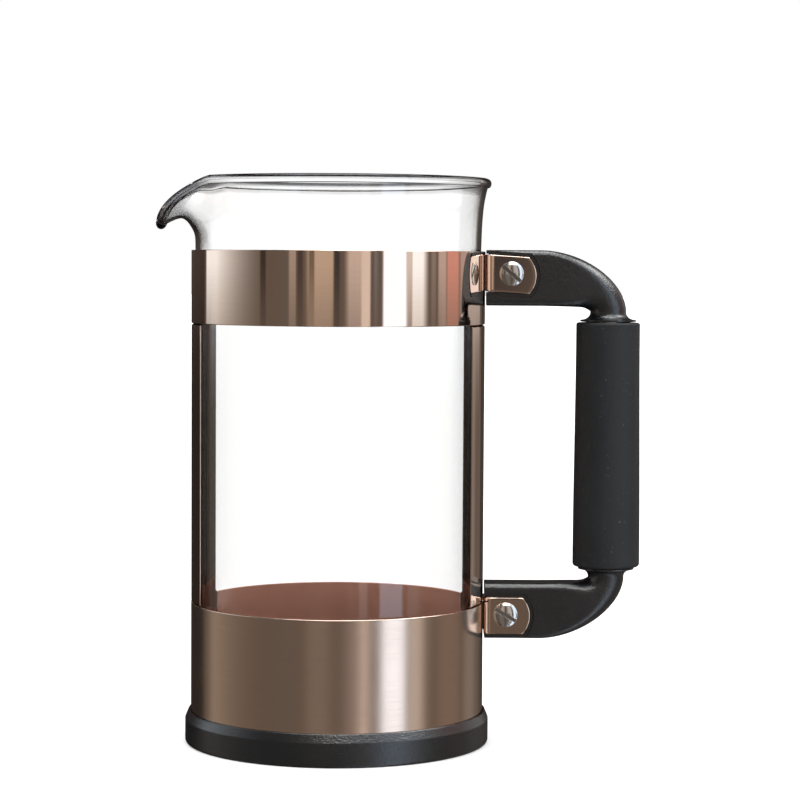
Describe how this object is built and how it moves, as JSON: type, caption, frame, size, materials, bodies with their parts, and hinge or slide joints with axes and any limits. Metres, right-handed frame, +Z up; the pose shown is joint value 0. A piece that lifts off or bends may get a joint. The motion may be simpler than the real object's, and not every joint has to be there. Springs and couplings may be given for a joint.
{
  "type": "french press",
  "caption": "Open french press: flared glass beaker with a spout in a copper-tone banded frame, black foot and C-shaped handle, with its domed lid and plunger standing beside it.",
  "frame": {"origin": "centre of the foot's flat underside, on the beaker's axis", "axes": "+Z up, +X towards the handle, -X towards the spout"},
  "size_m": [0.3569, 0.11, 0.221],
  "materials": {
    "beaker_glass": "clear borosilicate glass with a fire-polished rim",
    "polished_copper": "polished copper plating on steel",
    "brushed_copper": "copper plating on steel, fine hairlines round the band",
    "black_plastic": "black moulded plastic with a fine grain",
    "soft_grip": "black soft-touch sleeve",
    "steel": "plain stainless steel",
    "filter_mesh": "fine woven stainless mesh"
  },
  "bodies": {
    "frame": {"upper_band": "polished_copper", "lower_band": "brushed_copper", "handle_side_strap": "polished_copper", "spout_side_strap": "polished_copper", "foot": "black_plastic", "upper_handle_bracket": "polished_copper", "lower_handle_bracket": "polished_copper", "upper_handle_arm": "black_plastic", "lower_handle_arm": "black_plastic", "handle_grip": "soft_grip", "handle_tie_rod": "steel", "upper_handle_screw": "steel", "upper_handle_nut": "steel", "lower_handle_screw": "steel", "lower_handle_nut": "steel"},
    "beaker": {"glass_beaker": "beaker_glass"},
    "plunger": {"cross_plate": "steel", "mesh_filter": "filter_mesh", "spiral_plate": "steel", "edge_spring": "steel", "plunger_rod": "steel", "filter_lock_nut": "steel", "plunger_knob": "black_plastic"},
    "lid": {"lid_dome": "polished_copper", "lid_splash_guard": "steel", "lid_bush": "black_plastic"}
  },
  "joints": [
    {"name": "beaker_lift", "type": "slide", "parent": "frame", "child": "beaker", "axis": [0, 0, 1], "range_m": [0, 0.19]},
    {"name": "plunger_lift", "type": "slide", "parent": "frame", "child": "plunger", "axis": [0, 0, 1], "range_m": [0, 0.2]},
    {"name": "lid_slide", "type": "slide", "parent": "plunger", "child": "lid", "axis": [0, 0, 1], "range_m": [0, 0.156]}
  ]
}
